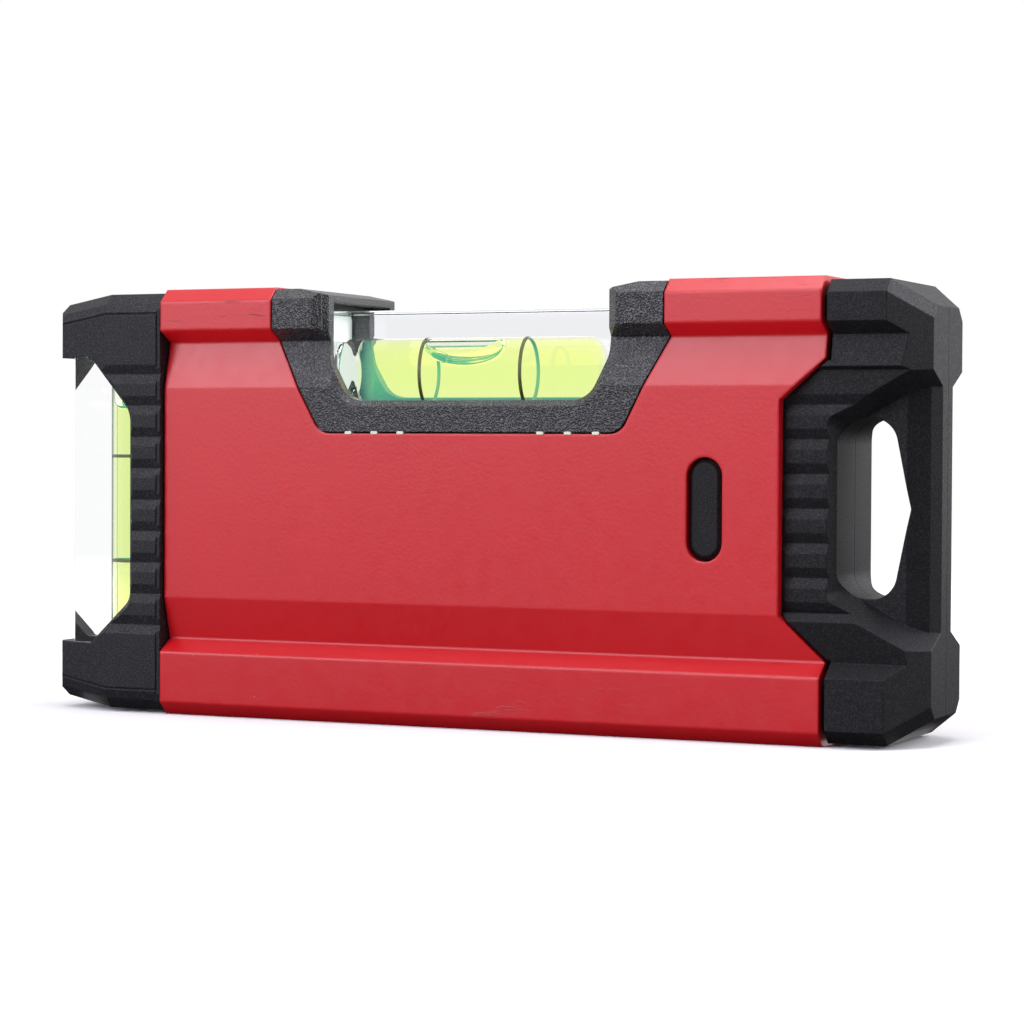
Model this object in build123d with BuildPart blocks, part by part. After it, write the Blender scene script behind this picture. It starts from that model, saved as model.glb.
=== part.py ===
from build123d import *

import os
from math import hypot, radians, tan

os.makedirs("parts", exist_ok=True)

# Pocket box level, in millimetres.
# X runs along the level, from the plumb vial at -X to the hand loop at +X.
# Y is its thickness and Z is up. The origin is at the middle of its footprint.
# The level is the same on its front (-Y) and its back (+Y).

# Overall size
LENGTH = 100.0
HEIGHT = 46.0
WIDTH = 18.2
HALF_LENGTH = LENGTH / 2
HALF_WIDTH = WIDTH / 2
MIDDLE = Vector(0, 0, HEIGHT / 2)

# Aluminium box section: half outline as (half width, height), from the top down
WALL = 1.25
EDGE_RADIUS = 0.25
TUBE_LEFT = -34.8
TUBE_RIGHT = 39.9
RAIL_CHAMFER = 1.4
TOP_RAIL_FOOT = 41.5
BOTTOM_RAIL_HEAD = 6.85
NECK_HALF = 7.05
TOP_NECK = 40.3
BOTTOM_NECK = 8.2
NECK_BORE_HALF = 5.5  # room between the necks, inside the tube
WEB_HALF = 8.2
WEB_TOP = 35.4
WEB_BOTTOM = 12.7
TUBE_OUTLINE = [
    (HALF_WIDTH - RAIL_CHAMFER, HEIGHT),
    (HALF_WIDTH, HEIGHT - RAIL_CHAMFER),
    (HALF_WIDTH, TOP_RAIL_FOOT),
    (NECK_HALF, TOP_NECK),
    (WEB_HALF, WEB_TOP),
    (WEB_HALF, WEB_BOTTOM),
    (NECK_HALF, BOTTOM_NECK),
    (HALF_WIDTH, BOTTOM_RAIL_HEAD),
    (HALF_WIDTH, RAIL_CHAMFER),
    (HALF_WIDTH - RAIL_CHAMFER, 0),
]

# Window for the level vial, cut through both webs and the top rail
WINDOW_LEFT = -21.2
WINDOW_RIGHT = 23.6
WINDOW_BOTTOM = 30.5
WINDOW_FLOOR_LEFT = -15.8
WINDOW_FLOOR_RIGHT = 18.6
WINDOW_RADIUS = 2.0

# Notch at the handle end of both webs
NOTCH_FLOOR = 35.35
NOTCH_FLOOR_TOP = 33.9
NOTCH_FLOOR_BOTTOM = 12.7
NOTCH_TOP = 38.0
NOTCH_BOTTOM = 8.2

# Latch slots in both webs
SLOT_X = 27.6
SLOT_Z = 23.05
SLOT_LENGTH = 10.4
SLOT_WIDTH = 3.8

# Clearances
SEAM = 0.15          # open joint between the tube and the moulded parts
NOTCH_SEAM = 0.25    # the same round the handle cap's grip
SLIP = 0.06          # between parts that are pushed into one another
THROUGH = 2 * WIDTH  # more than the whole thickness
OVERSHOOT = 1.0      # how far a cut runs past the surface it starts from

# Block vials
BLOCK = 12.8             # side of the square acrylic bar
CAVITY_RADIUS = 3.7
CAVITY_LENGTH = 27.7
CAVITY_END_RADIUS = 1.6
PLUG_LENGTH = 3.8
RING_THICKNESS = 0.14
RING_WIDTH = 0.36
RING_SPACING = 11.6
RING_GAP = 0.01          # between a ring and the cavity's wall
LIQUID_GAP = 0.03        # between the rings and the liquid
LIQUID_RADIUS = CAVITY_RADIUS - RING_THICKNESS - LIQUID_GAP

# Level vial
LEVEL_AXIS_Z = 37.0
LEVEL_LEFT = -17.2
LEVEL_LENGTH = 35.6
LEVEL_MARK_X = 0.0
LEVEL_BUBBLE_X = -1.64
LEVEL_BUBBLE_LENGTH = 9.4
LEVEL_BUBBLE_DEPTH = 2.85
LEVEL_BUBBLE_HALF_WIDTH = 3.1

# Plumb vial
PLUMB_AXIS_X = -41.2
PLUMB_TOP = 39.6
PLUMB_LENGTH = 35.6
PLUMB_MARK_Z = 22.15
PLUMB_BUBBLE_RADIUS = 2.85
PLUMB_BUBBLE_HEIGHT = 2.6
PLUMB_CHANNEL_RADIUS = 3.0

# Vial holder
HOLDER_TOP = 45.8
HOLDER_HALF = 9.05
HOLDER_CHAMFER = 1.1
POST_LEFT = -15.0
POST_RIGHT = 17.05
POST_BEVEL = 1.3
POST_SLOPE_RUN = 3.3
SIGHT_BOTTOM = 33.95
SIGHT_CORNER_TOP = 38.4
SIGHT_CORNER_RUN = 2.3
SIGHT_UPPER_RADIUS = 3.0
SIGHT_LOWER_RADIUS = 2.9
SIGHT_BEVEL = 0.6
BRIDGE_TOP = 45.1
BRIDGE_THICKNESS = 0.75
SKIRT_BOTTOM = 27.6
RETAINER_THICKNESS = 1.5
RETAINER_CORNER = 1.0

# Shared by both end caps
CAP_TOP = 45.6
CAP_EDGE = 1.3
RIB_PITCH = 3.4
RIB_MIDDLE = 23.25
RIB_DEPTH = 0.36
RIB_HALF_HEIGHT = 1.05
RIB_OVERSHOOT = 0.01   # keeps the grooves' mouths clear of the face itself

# Plumb cap
PLUMB_CAP_RIGHT = -35.0
PLUMB_CAP_HALF = 9.0
PLUMB_CAP_BEND = -41.9
PLUMB_CAP_NOSE = -49.1
PLUMB_CAP_NOSE_HALF = 6.5
PLUMB_CAP_END_HALF = 5.1
PLUMB_CAP_SLOPE_END = -49.0
PLUMB_CAP_SLOPE_DROP = 0.9
PLUMB_CAP_CORNER_DROP = 2.4
PLUMB_BAND_TOP = 44.5
PLUMB_BAND_BOTTOM = 43.4
PLUMB_BAND_LEAN = 0.36
PLUMB_EDGE_RUN = 1.0
PLUMB_STEP_X = -35.45
PLUMB_STEP_DEPTH = 0.14
PLUMB_GROOVE = 0.24    # side of the square that sinks the line under the leaning band
PLUMB_RIB_PAIRS = 4    # ribs above the middle one, and as many below
PLUMB_SPIGOT_END = -26.5
CUT_TOP = 38.8
CUT_BOTTOM = 7.4
CUT_TIP_X = -44.2
CUT_FLOOR = -39.05
CUT_FLOOR_TOP = 32.8
CUT_FLOOR_BOTTOM = 12.3
CUT_BEVEL = 0.6
CUT_TOP_RADIUS = 1.5
CUT_FLOOR_TOP_RADIUS = 3.0
CUT_FLOOR_BOTTOM_RADIUS = 2.0
CUT_BOTTOM_RADIUS = 1.0

# Handle cap
HANDLE_CAP_LEFT = 40.45
HANDLE_CAP_HALF = 8.95
HANDLE_CAP_BEND = 46.4
HANDLE_CAP_END_HALF = 5.05
HANDLE_CAP_SLOPE_DROP = 2.45
HANDLE_RIB_PAIRS = 3
GRIP_HALF = 7.0
GRIP_CREST_HALF = 7.7
GRIP_TOP_CREST = 37.15
GRIP_BOTTOM_CREST = 12.2
GRIP_TOP_FALL = 0.3    # height over which each crest falls to the grip's face
GRIP_BOTTOM_FALL = 0.9
SPIGOT_LEFT = 33.0
SPIGOT_WALL = 1.5
SPIGOT_FLOOR = 38.6
TONGUE_LEFT = 22.6
TONGUE_HALF_HEIGHT = 5.6
TONGUE_THICKNESS = 1.4
LATCH_HALF = 7.95
LATCH_BEVEL = 0.45

# Hand loop in the handle cap
POCKET_LEFT = 39.93
POCKET_HALF = 7.0            # half width at which the pocket outline is given
POCKET_TOP = 32.1            # at POCKET_LEFT
POCKET_BOTTOM = 14.3         # at POCKET_LEFT
POCKET_RISE = 0.56           # slope of its upper and lower edges
POCKET_REACH = 62.0
POCKET_TAPER = 22.0          # degrees
POCKET_CORNER = 1.2
BAR_FLOOR_HALF = 3.7
BAR_EDGE_HALF = 1.7
BAR_BEND_HALF = 2.7
BAR_BEND_X = 49.1
BAR_FLOOR_X = 47.0
BAR_LEFT = 40.2
BAR_BOTTOM = 8.8
BAR_TOP = 37.6
HOLE_LEFT = 40.5
HOLE_RIGHT = 47.4
HOLE_END_RIGHT = 45.6
HOLE_TOP = 32.15
HOLE_BOTTOM = 14.35
HOLE_MIDDLE = (HOLE_TOP + HOLE_BOTTOM) / 2
HOLE_LEFT_RADIUS = 2.6
HOLE_RIGHT_RADIUS = 2.6
HOLE_NOSE_RADIUS = 0.8

# Magnets pressed into the bottom rail
MAGNET_RADIUS = 4.5
MAGNET_THICKNESS = 3.0
MAGNET_RECESS = 0.1
MAGNET_POSITIONS = [(-11.3, 0), (16.7, 0)]

# Adhesive beads under the holder's lower edge
BEAD_LENGTH = 0.8
BEAD_DEPTH = 0.9       # how far it fills the seam
BEAD_HEIGHT = 0.32     # where it has been squeezed out
BEAD_BULGE = 0.08
BEAD_POSITIONS = [-12.3, -9.25, -6.2, 9.75, 12.8, 15.9]


def both_sides(half_outline):
    """Whole outline from its +Y half, which is listed from the top down."""
    return half_outline + [(-y, z) for y, z in reversed(half_outline)]


def cross_section(half_outline, x, inset=0.0, radius=0.0):
    """Cross-section at x, drawn smaller by the inset and with rounded corners."""
    with BuildSketch(Plane.YZ.offset(x)) as sketch:
        Polygon(*both_sides(half_outline), align=None)
        if inset:
            offset(amount=-inset, kind=Kind.INTERSECTION, mode=Mode.REPLACE)
        if radius:
            fillet(sketch.vertices(), radius)
    return sketch.sketch


def side_outline(corners, y=0.0, grow=0.0):
    """Outline seen from the front, at y. Each corner is (x, z, rounding radius)."""
    with BuildSketch(Plane.XZ.offset(-y)) as sketch:
        Polygon(*[(x, z) for x, z, _ in corners], align=None)
        for x, z, radius in corners:
            if radius:
                fillet(sketch.vertices().sort_by_distance((x, z))[0], radius)
        if grow:
            offset(amount=grow, kind=Kind.INTERSECTION, mode=Mode.REPLACE)
    return sketch.sketch


def facet(a, b, c):
    """Plane through three points, its normal pointing away from the level's middle."""
    a, b, c = (Vector(*point) for point in (a, b, c))
    normal = (b - a).cross(c - a)
    if normal.dot(a - MIDDLE) < 0:
        normal = -normal
    return Plane(origin=a, z_dir=normal)


def on_all_edges(points):
    """The same points on the front and back, at the top and bottom."""
    for side in (1, -1):
        yield [(x, side * y, z) for x, y, z in points]
        yield [(x, side * y, HEIGHT - z) for x, y, z in points]


def window_corners(gap):
    """Window outline, drawn smaller by the gap on its sides and floor."""
    over = HEIGHT + gap + OVERSHOOT
    return [
        (WINDOW_LEFT + gap, over, 0),
        (WINDOW_LEFT + gap, TOP_NECK, 0),
        (WINDOW_FLOOR_LEFT + gap, WINDOW_BOTTOM + gap, WINDOW_RADIUS),
        (WINDOW_FLOOR_RIGHT - gap, WINDOW_BOTTOM + gap, WINDOW_RADIUS),
        (WINDOW_RIGHT - gap, TOP_NECK, 0),
        (WINDOW_RIGHT - gap, over, 0),
    ]


def notch_corners(gap, reach):
    """Outline of the handle-end notch, drawn smaller by the gap and open at reach."""
    return [
        (TUBE_RIGHT + gap, NOTCH_TOP - gap, 0),
        (NOTCH_FLOOR + gap, NOTCH_FLOOR_TOP, 0),
        (NOTCH_FLOOR + gap, NOTCH_FLOOR_BOTTOM, 0),
        (TUBE_RIGHT + gap, NOTCH_BOTTOM + gap, 0),
        (reach, NOTCH_BOTTOM + gap, 0),
        (reach, NOTCH_TOP - gap, 0),
    ]


def rib_grooves(face_half, left, right, count):
    """V grooves across the front and back faces, with flat-topped ribs between them."""
    with BuildPart() as grooves:
        for side in (1, -1):
            with BuildSketch(Plane.YZ.offset(left)):
                for step in range(-count, count + 1):
                    middle = RIB_MIDDLE + step * RIB_PITCH
                    Polygon(
                        (side * (face_half + RIB_OVERSHOOT), middle + RIB_HALF_HEIGHT),
                        (side * (face_half - RIB_DEPTH), middle),
                        (side * (face_half + RIB_OVERSHOOT), middle - RIB_HALF_HEIGHT),
                        align=None,
                    )
            extrude(amount=right - left)
    return grooves.part


def groove(start, end, side):
    """Square bar from start to end, one edge of which sinks a line into the faces beside it."""
    start, end = Vector(*start), Vector(*end)
    along = end - start
    with BuildPart() as bar:
        with BuildSketch(Plane(origin=start, x_dir=(0, 1, 1), z_dir=along)):
            Rectangle(side, side)
        extrude(amount=along.length)
    return bar.part


def write(builder, name):
    """Label the finished piece and write it."""
    builder.part.label = name
    export_step(builder.part, "parts/" + name + ".step")


# --- Aluminium tube -----------------------------------------------------------------

with BuildPart() as profile_body:
    extrude(cross_section(TUBE_OUTLINE, TUBE_LEFT, radius=EDGE_RADIUS), amount=TUBE_RIGHT - TUBE_LEFT)
    extrude(
        cross_section(TUBE_OUTLINE, TUBE_LEFT, inset=WALL),
        amount=TUBE_RIGHT - TUBE_LEFT,
        mode=Mode.SUBTRACT,
    )
    extrude(side_outline(window_corners(0)), amount=THROUGH, both=True, mode=Mode.SUBTRACT)
    extrude(side_outline(notch_corners(0, HALF_LENGTH)), amount=THROUGH, both=True, mode=Mode.SUBTRACT)
    with BuildSketch(Plane.XZ):
        with Locations((SLOT_X, SLOT_Z)):
            SlotOverall(SLOT_LENGTH, SLOT_WIDTH, rotation=90)
    extrude(amount=THROUGH, both=True, mode=Mode.SUBTRACT)
    with BuildSketch(Plane.XY):
        with Locations(*MAGNET_POSITIONS):
            Circle(MAGNET_RADIUS + SLIP)
    extrude(amount=WALL, mode=Mode.SUBTRACT)

write(profile_body, "profile_body")

# --- Vial holder and its retainer -----------------------------------------------------

HOLDER_OUTLINE = [
    (HOLDER_HALF - HOLDER_CHAMFER, HOLDER_TOP),
    (HOLDER_HALF, HOLDER_TOP - HOLDER_CHAMFER),
    (HOLDER_HALF, TOP_RAIL_FOOT),
    (NECK_HALF, TOP_NECK),
    (WEB_HALF, WEB_TOP),
    (WEB_HALF, WINDOW_BOTTOM),
]
SIGHT_CORNERS = [
    (POST_LEFT, HEIGHT + OVERSHOOT, 0),
    (POST_LEFT, SIGHT_CORNER_TOP, SIGHT_UPPER_RADIUS),
    (POST_LEFT + SIGHT_CORNER_RUN, SIGHT_BOTTOM, SIGHT_LOWER_RADIUS),
    (POST_RIGHT - SIGHT_CORNER_RUN, SIGHT_BOTTOM, SIGHT_LOWER_RADIUS),
    (POST_RIGHT, SIGHT_CORNER_TOP, SIGHT_UPPER_RADIUS),
    (POST_RIGHT, HEIGHT + OVERSHOOT, 0),
]
POST_BEVEL_OUTLINE = [
    (WIDTH, HEIGHT),
    (HOLDER_HALF - POST_BEVEL, HEIGHT),
    (HOLDER_HALF - POST_BEVEL, TOP_RAIL_FOOT),
    (NECK_HALF, TOP_NECK),
    (WIDTH, TOP_NECK),
]
SKIRT_HALF = WEB_HALF - WALL - SLIP

with BuildPart() as vial_holder:
    extrude(cross_section(HOLDER_OUTLINE, WINDOW_LEFT), amount=WINDOW_RIGHT - WINDOW_LEFT)
    extrude(side_outline(window_corners(SEAM)), amount=THROUGH, both=True, mode=Mode.INTERSECT)
    # skirt that locates the holder between the webs
    with BuildSketch(Plane.XY.offset(SKIRT_BOTTOM)):
        with Locations(((WINDOW_FLOOR_LEFT + WINDOW_FLOOR_RIGHT) / 2, 0)):
            Rectangle(WINDOW_FLOOR_RIGHT - WINDOW_FLOOR_LEFT, 2 * SKIRT_HALF)
    extrude(amount=WINDOW_BOTTOM + OVERSHOOT - SKIRT_BOTTOM)
    # sight opening between the posts, open at the top
    extrude(side_outline(SIGHT_CORNERS), amount=THROUGH, both=True, mode=Mode.SUBTRACT)
    # bed for the block vial, open underneath
    with BuildSketch(Plane.XY.offset(SKIRT_BOTTOM)):
        with Locations((LEVEL_LEFT + LEVEL_LENGTH / 2, 0)):
            Rectangle(LEVEL_LENGTH + 2 * SLIP, BLOCK + 2 * SLIP)
    extrude(amount=BRIDGE_TOP - BRIDGE_THICKNESS - SKIRT_BOTTOM, mode=Mode.SUBTRACT)
    # the posts' tops slope down to the bridges
    for post, away in ((POST_LEFT, -1), (POST_RIGHT, 1)):
        with BuildSketch(Plane.XZ):
            Polygon(
                (post + away * POST_SLOPE_RUN, HOLDER_TOP),
                (post, BRIDGE_TOP),
                (post, HEIGHT),
                (post + away * POST_SLOPE_RUN, HEIGHT),
                align=None,
            )
        extrude(amount=THROUGH, both=True, mode=Mode.SUBTRACT)
    # bevel down the posts' outer corners
    for side in (1, -1):
        for post, away in ((POST_LEFT, -1), (POST_RIGHT, 1)):
            with BuildSketch(Plane.YZ.offset(post)):
                Polygon(*[(side * y, z) for y, z in POST_BEVEL_OUTLINE], align=None)
            extrude(amount=2 * POST_BEVEL, dir=(away, side, 0), mode=Mode.SUBTRACT)
    # bevel round the sight opening's outer edge
    for side in (1, -1):
        extrude(
            side_outline(SIGHT_CORNERS, y=side * WEB_HALF, grow=SIGHT_BEVEL),
            amount=SIGHT_BEVEL,
            dir=(0, -side, 0),
            taper=45,
            mode=Mode.SUBTRACT,
        )

write(vial_holder, "vial_holder")

with BuildPart() as level_vial_retainer:
    with BuildSketch(Plane.XY.offset(LEVEL_AXIS_Z - BLOCK / 2 - RETAINER_THICKNESS)):
        with Locations((LEVEL_LEFT + LEVEL_LENGTH / 2, 0)):
            RectangleRounded(LEVEL_LENGTH - RETAINER_THICKNESS, BLOCK - 2 * SLIP, RETAINER_CORNER)
    extrude(amount=RETAINER_THICKNESS)

write(level_vial_retainer, "level_vial_retainer")

# --- Adhesive beads --------------------------------------------------------------------

with BuildPart() as holder_adhesive:
    for side in (1, -1):
        with BuildSketch(Plane.XY.offset(WINDOW_BOTTOM)):
            with Locations(*[(x, side * (WEB_HALF - BEAD_DEPTH / 2)) for x in BEAD_POSITIONS]):
                Rectangle(BEAD_LENGTH, BEAD_DEPTH)
        extrude(amount=SEAM)
        # what has been squeezed out of the seam
        with BuildSketch(Plane.XZ.offset(-side * WEB_HALF)):
            with Locations(*[(x, WINDOW_BOTTOM + SEAM / 2) for x in BEAD_POSITIONS]):
                SlotOverall(BEAD_LENGTH, BEAD_HEIGHT)
        extrude(amount=BEAD_BULGE, dir=(0, side, 0))

write(holder_adhesive, "holder_adhesive")

# --- Block vials -----------------------------------------------------------------------


def acrylic_block(end):
    """Square acrylic bar, drilled from its plug end, which lies on the plane given."""
    with BuildPart() as block:
        with BuildSketch(end):
            RectangleRounded(BLOCK, BLOCK, EDGE_RADIUS)
        extrude(amount=LEVEL_LENGTH)
        with BuildSketch(end):
            Circle(CAVITY_RADIUS)
        extrude(amount=PLUG_LENGTH + CAVITY_LENGTH, mode=Mode.SUBTRACT)
        circles = block.edges().filter_by(GeomType.CIRCLE)
        rims = circles.filter_by(lambda edge: edge.radius > CAVITY_RADIUS / 2)
        fillet(rims.sort_by(Axis(end.origin, end.z_dir))[-1], CAVITY_END_RADIUS)
    return block


def vial_plug(end):
    """Clear disc that closes the drilled end."""
    with BuildPart() as plug:
        with BuildSketch(end):
            Circle(CAVITY_RADIUS - SLIP / 2)
        extrude(amount=PLUG_LENGTH - SLIP / 2)
    return plug


def vial_ring(end, distance):
    """Thin reading ring on the cavity's wall."""
    with BuildPart() as ring:
        with BuildSketch(end.offset(distance - RING_WIDTH / 2)):
            Circle(CAVITY_RADIUS - RING_GAP)
            Circle(CAVITY_RADIUS - RING_THICKNESS, mode=Mode.SUBTRACT)
        extrude(amount=RING_WIDTH)
    return ring


LEVEL_END = Plane(origin=(LEVEL_LEFT, 0, LEVEL_AXIS_Z), x_dir=(0, 1, 0), z_dir=(1, 0, 0))
PLUMB_END = Plane(origin=(PLUMB_AXIS_X, 0, PLUMB_TOP), x_dir=(0, 1, 0), z_dir=(0, 0, -1))
LEVEL_MARK = LEVEL_MARK_X - LEVEL_LEFT
PLUMB_MARK = PLUMB_TOP - PLUMB_MARK_Z

write(acrylic_block(LEVEL_END), "level_vial_block")
write(acrylic_block(PLUMB_END), "plumb_vial_block")
write(vial_plug(LEVEL_END), "level_vial_plug")
write(vial_plug(PLUMB_END), "plumb_vial_plug")
write(vial_ring(LEVEL_END, LEVEL_MARK - RING_SPACING / 2), "level_ring_left")
write(vial_ring(LEVEL_END, LEVEL_MARK + RING_SPACING / 2), "level_ring_right")
write(vial_ring(PLUMB_END, PLUMB_MARK - RING_SPACING / 2), "plumb_ring_upper")
write(vial_ring(PLUMB_END, PLUMB_MARK + RING_SPACING / 2), "plumb_ring_lower")

# The level liquid is open along its top, where the bubble travels.
CHANNEL_FLOOR = LEVEL_AXIS_Z + LIQUID_RADIUS - LEVEL_BUBBLE_DEPTH - 2 * SLIP

with BuildPart() as level_liquid:
    with BuildSketch(LEVEL_END.offset(PLUG_LENGTH)):
        Circle(LIQUID_RADIUS)
    extrude(amount=CAVITY_LENGTH - SLIP)
    fillet(level_liquid.edges().sort_by(Axis.X)[-1], CAVITY_END_RADIUS)
    with BuildSketch(Plane.XY.offset(CHANNEL_FLOOR)):
        Rectangle(LENGTH, BLOCK)
    extrude(amount=BLOCK, mode=Mode.SUBTRACT)

write(level_liquid, "level_liquid")

# The plumb liquid is a sleeve round the channel where the bubble travels.
with BuildPart() as plumb_liquid:
    with BuildSketch(PLUMB_END.offset(PLUG_LENGTH)):
        Circle(LIQUID_RADIUS)
    extrude(amount=CAVITY_LENGTH - CAVITY_END_RADIUS)
    with BuildSketch(PLUMB_END):
        Circle(PLUMB_CHANNEL_RADIUS)
    extrude(amount=PLUMB_LENGTH, mode=Mode.SUBTRACT)

write(plumb_liquid, "plumb_liquid")

# The level bubble is an oval lens under the cavity's top.
bubble_oval = scale(
    Sphere(1),
    by=(LEVEL_BUBBLE_LENGTH / 2, LEVEL_BUBBLE_HALF_WIDTH, LEVEL_BUBBLE_DEPTH),
)

with BuildPart() as level_bubble:
    with Locations((LEVEL_BUBBLE_X, 0, LEVEL_AXIS_Z + LIQUID_RADIUS)):
        add(bubble_oval)
    with BuildSketch(LEVEL_END):
        Circle(LIQUID_RADIUS)
    extrude(amount=LEVEL_LENGTH, mode=Mode.INTERSECT)

write(level_bubble, "level_bubble")

with BuildPart() as plumb_bubble:
    with BuildSketch(PLUMB_END.offset(PLUG_LENGTH + SLIP)):
        Circle(PLUMB_BUBBLE_RADIUS)
    extrude(amount=PLUMB_BUBBLE_HEIGHT)
    fillet(plumb_bubble.edges().filter_by(GeomType.CIRCLE), PLUMB_BUBBLE_HEIGHT / 3)

write(plumb_bubble, "plumb_bubble")

# --- Plumb cap and its retainer -----------------------------------------------------------

PLUMB_CUT = [
    (-HALF_LENGTH - OVERSHOOT, CUT_TOP, 0),
    (CUT_TIP_X, CUT_TOP, CUT_TOP_RADIUS),
    (CUT_FLOOR, CUT_FLOOR_TOP, CUT_FLOOR_TOP_RADIUS),
    (CUT_FLOOR, CUT_FLOOR_BOTTOM, CUT_FLOOR_BOTTOM_RADIUS),
    (CUT_TIP_X, CUT_BOTTOM, CUT_BOTTOM_RADIUS),
    (-HALF_LENGTH - OVERSHOOT, CUT_BOTTOM, 0),
]
PLUMB_SLOPE = PLUMB_CAP_SLOPE_DROP / (PLUMB_CAP_BEND - PLUMB_CAP_SLOPE_END)
PLUMB_NOSE_DROP = PLUMB_SLOPE * (PLUMB_CAP_BEND - PLUMB_CAP_NOSE)
BAND_HALF = PLUMB_CAP_HALF - PLUMB_BAND_LEAN
BEND = PLUMB_CAP_BEND

PLUMB_FACETS = [
    # plan bevel towards the tip, and the blunter nose at its end
    [
        (BEND, PLUMB_CAP_HALF, 0),
        (PLUMB_CAP_NOSE, PLUMB_CAP_NOSE_HALF, 0),
        (PLUMB_CAP_NOSE, PLUMB_CAP_NOSE_HALF, HEIGHT),
    ],
    [
        (PLUMB_CAP_NOSE, PLUMB_CAP_NOSE_HALF, 0),
        (PLUMB_CAP_NOSE, PLUMB_CAP_NOSE_HALF, HEIGHT),
        (-HALF_LENGTH, PLUMB_CAP_END_HALF, 0),
    ],
    # slope of the top and the corner at its end
    [(BEND, 0, CAP_TOP), (BEND, WIDTH, CAP_TOP), (PLUMB_CAP_SLOPE_END, 0, CAP_TOP - PLUMB_CAP_SLOPE_DROP)],
    [
        (PLUMB_CAP_SLOPE_END, 0, CAP_TOP - PLUMB_CAP_SLOPE_DROP),
        (PLUMB_CAP_SLOPE_END, WIDTH, CAP_TOP - PLUMB_CAP_SLOPE_DROP),
        (-HALF_LENGTH, 0, CAP_TOP - PLUMB_CAP_CORNER_DROP),
    ],
    # leaning band and chamfer along the straight part
    [
        (BEND, PLUMB_CAP_HALF, PLUMB_BAND_BOTTOM),
        (0, PLUMB_CAP_HALF, PLUMB_BAND_BOTTOM),
        (0, BAND_HALF, PLUMB_BAND_TOP),
    ],
    [
        (BEND, BAND_HALF, PLUMB_BAND_TOP),
        (0, BAND_HALF, PLUMB_BAND_TOP),
        (0, BAND_HALF - PLUMB_EDGE_RUN, CAP_TOP),
    ],
    # the same along the slope
    [
        (BEND, PLUMB_CAP_HALF, PLUMB_BAND_BOTTOM),
        (BEND, BAND_HALF, PLUMB_BAND_TOP),
        (PLUMB_CAP_NOSE, PLUMB_CAP_NOSE_HALF, PLUMB_BAND_BOTTOM - PLUMB_NOSE_DROP),
    ],
    [
        (BEND, BAND_HALF, PLUMB_BAND_TOP),
        (BEND, BAND_HALF - PLUMB_EDGE_RUN, CAP_TOP),
        (PLUMB_CAP_NOSE, PLUMB_CAP_NOSE_HALF - PLUMB_BAND_LEAN, PLUMB_BAND_TOP - PLUMB_NOSE_DROP),
    ],
]

with BuildPart() as plumb_cap:
    with BuildSketch(Plane.XY.offset(HEIGHT - CAP_TOP)):
        with Locations(((PLUMB_CAP_RIGHT - HALF_LENGTH) / 2, 0)):
            Rectangle(PLUMB_CAP_RIGHT + HALF_LENGTH, 2 * PLUMB_CAP_HALF)
    extrude(amount=2 * CAP_TOP - HEIGHT)
    for points in PLUMB_FACETS:
        for corners in on_all_edges(points):
            split(bisect_by=facet(*corners), keep=Keep.BOTTOM)
    # line under the leaning band, along the slope and along the straight part
    for nose, bend, right in on_all_edges([
        (PLUMB_CAP_NOSE, PLUMB_CAP_NOSE_HALF, PLUMB_BAND_BOTTOM - PLUMB_NOSE_DROP),
        (BEND, PLUMB_CAP_HALF, PLUMB_BAND_BOTTOM),
        (PLUMB_CAP_RIGHT + OVERSHOOT, PLUMB_CAP_HALF, PLUMB_BAND_BOTTOM),
    ]):
        add(groove(nose, bend, PLUMB_GROOVE), mode=Mode.SUBTRACT)
        add(groove(bend, right, PLUMB_GROOVE), mode=Mode.SUBTRACT)
    # grip ribs, and the shallow step beside the tube
    add(rib_grooves(PLUMB_CAP_HALF, CUT_TIP_X, PLUMB_CAP_RIGHT, PLUMB_RIB_PAIRS), mode=Mode.SUBTRACT)
    with BuildSketch(Plane.XY):
        for side in (1, -1):
            with Locations((PLUMB_STEP_X, side * (PLUMB_CAP_HALF - PLUMB_STEP_DEPTH))):
                Rectangle(OVERSHOOT, OVERSHOOT, align=(Align.MIN, Align.MIN if side > 0 else Align.MAX))
    extrude(amount=HEIGHT, mode=Mode.SUBTRACT)
    # spigot that fills the ends of the tube's two rails
    extrude(
        cross_section(TUBE_OUTLINE, PLUMB_CAP_RIGHT - OVERSHOOT, inset=WALL + SLIP),
        amount=PLUMB_SPIGOT_END - PLUMB_CAP_RIGHT + OVERSHOOT,
    )
    # bed for the block vial, open towards the tube
    with BuildSketch(Plane.XZ):
        bed_left = PLUMB_AXIS_X - BLOCK / 2 - SLIP
        with Locations((bed_left, PLUMB_TOP - PLUMB_LENGTH / 2)):
            Rectangle(PLUMB_SPIGOT_END - bed_left, PLUMB_LENGTH + 2 * SLIP, align=(Align.MIN, Align.CENTER))
    extrude(amount=BLOCK / 2 + SLIP, both=True, mode=Mode.SUBTRACT)
    with BuildSketch(Plane.XZ):
        with Locations((PLUMB_CAP_RIGHT, PLUMB_TOP - PLUMB_LENGTH / 2)):
            Rectangle(LENGTH, PLUMB_LENGTH + 2 * SLIP, align=(Align.MIN, Align.CENTER))
    extrude(amount=THROUGH, both=True, mode=Mode.SUBTRACT)
    # cut that shows the vial from the front, the back and the end
    extrude(side_outline(PLUMB_CUT), amount=THROUGH, both=True, mode=Mode.SUBTRACT)
    for side in (1, -1):
        extrude(
            side_outline(PLUMB_CUT, y=side * PLUMB_CAP_HALF, grow=CUT_BEVEL),
            amount=CUT_BEVEL,
            dir=(0, -side, 0),
            taper=45,
            mode=Mode.SUBTRACT,
        )

write(plumb_cap, "plumb_cap")

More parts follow.
